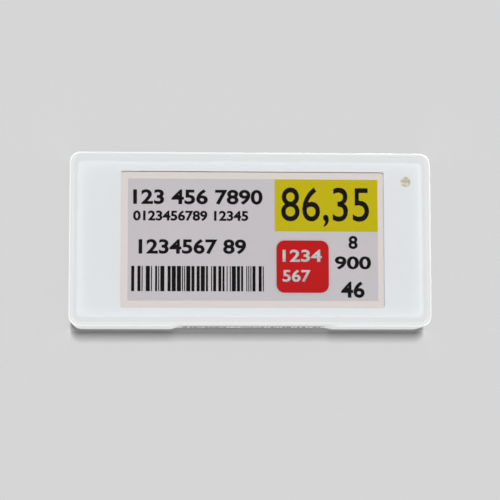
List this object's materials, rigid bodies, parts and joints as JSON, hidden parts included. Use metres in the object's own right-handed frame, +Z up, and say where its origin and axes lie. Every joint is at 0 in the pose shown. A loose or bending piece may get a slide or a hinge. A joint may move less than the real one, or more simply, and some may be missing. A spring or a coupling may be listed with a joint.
{
  "type": "electronic shelf label",
  "caption": "Small white electronic shelf label with an ink display behind a clear lens, coin cells in the back under a snap door, and rail grooves along its top and bottom.",
  "frame": {"origin": "middle of the case's footprint, on the plane that its bottom edge stands on", "axes": "+X to the label's right as seen from the front, +Y from the front to the back, +Z up towards the top edge"},
  "size_m": [0.07, 0.0118, 0.0338],
  "materials": {
    "case_white": "satin",
    "lens_clear": "polished",
    "mask_white": "satin",
    "tape_black": "matte",
    "strip_paper": "matte",
    "barrier_clear": "satin",
    "ink_grey": "matte",
    "display_glass": "polished",
    "chip_black": "matte",
    "flex_amber": "satin",
    "stiffener_blue": "matte",
    "foam_dark": "matte",
    "frame_grey": "matte",
    "pipe_diffuse": "satin",
    "lamp_yellow": "satin",
    "board_green": "satin",
    "crystal_metal": "satin",
    "antenna_ceramic": "matte",
    "inductor_ferrite": "matte",
    "capacitor_tan": "matte",
    "resistor_black": "matte",
    "connector_ivory": "matte",
    "pin_gold": "polished",
    "latch_brown": "matte",
    "contact_metal": "satin",
    "cell_steel": "brushed",
    "seal_dark": "matte",
    "cell_cap_steel": "satin",
    "door_white": "matte"
  },
  "bodies": {
    "case": {"front_frame": "case_white", "front_lens": "lens_clear", "window_mask": "mask_white", "lens_tape": "tape_black", "id_strip": "strip_paper", "barrier_sheet": "barrier_clear", "ink_film": "ink_grey", "display_glass": "display_glass", "driver_chip": "chip_black", "display_flex": "flex_amber", "flex_stiffener": "stiffener_blue", "display_foam": "foam_dark", "mid_frame": "frame_grey", "light_pipe": "pipe_diffuse", "indicator_led": "lamp_yellow", "circuit_board": "board_green", "radio_chip": "chip_black", "flash_chip": "chip_black", "main_crystal": "crystal_metal", "watch_crystal": "crystal_metal", "chip_antenna": "antenna_ceramic", "boost_inductor": "inductor_ferrite", "boost_transistor": "chip_black", "boost_diodes": "chip_black", "bulk_capacitors": "capacitor_tan", "chip_capacitors": "capacitor_tan", "chip_resistors": "resistor_black", "flex_connector": "connector_ivory", "connector_pins": "pin_gold", "left_negative_contact": "contact_metal", "right_negative_contact": "contact_metal", "left_positive_contact": "contact_metal", "right_positive_contact": "contact_metal", "back_cover": "case_white"},
    "battery_door": {"battery_door": "door_white", "door_pads": "foam_dark"},
    "left_cell": {"left_cell_can": "cell_steel", "left_cell_seal": "seal_dark", "left_cell_cap": "cell_cap_steel"},
    "right_cell": {"right_cell_can": "cell_steel", "right_cell_seal": "seal_dark", "right_cell_cap": "cell_cap_steel"},
    "flex_latch": {"flex_latch": "latch_brown"}
  },
  "joints": [
    {"name": "door_lift", "type": "slide", "parent": "case", "child": "battery_door", "axis": [0, 1, 0], "range_m": [0, 0.024]},
    {"name": "left_cell_lift", "type": "slide", "parent": "case", "child": "left_cell", "axis": [0, 1, 0], "range_m": [0, 0.012]},
    {"name": "right_cell_lift", "type": "slide", "parent": "case", "child": "right_cell", "axis": [0, 1, 0], "range_m": [0, 0.012]},
    {"name": "latch_flip", "type": "hinge", "parent": "case", "child": "flex_latch", "pos_m": [-0.02829, -0.0002, 0.0169], "axis": [0, 0, 1], "range_deg": [0, 90]}
  ],
  "couplings": [
    {"joint": "left_cell_lift", "follows": "door_lift", "ratio": 0.5},
    {"joint": "right_cell_lift", "follows": "door_lift", "ratio": 0.5}
  ]
}
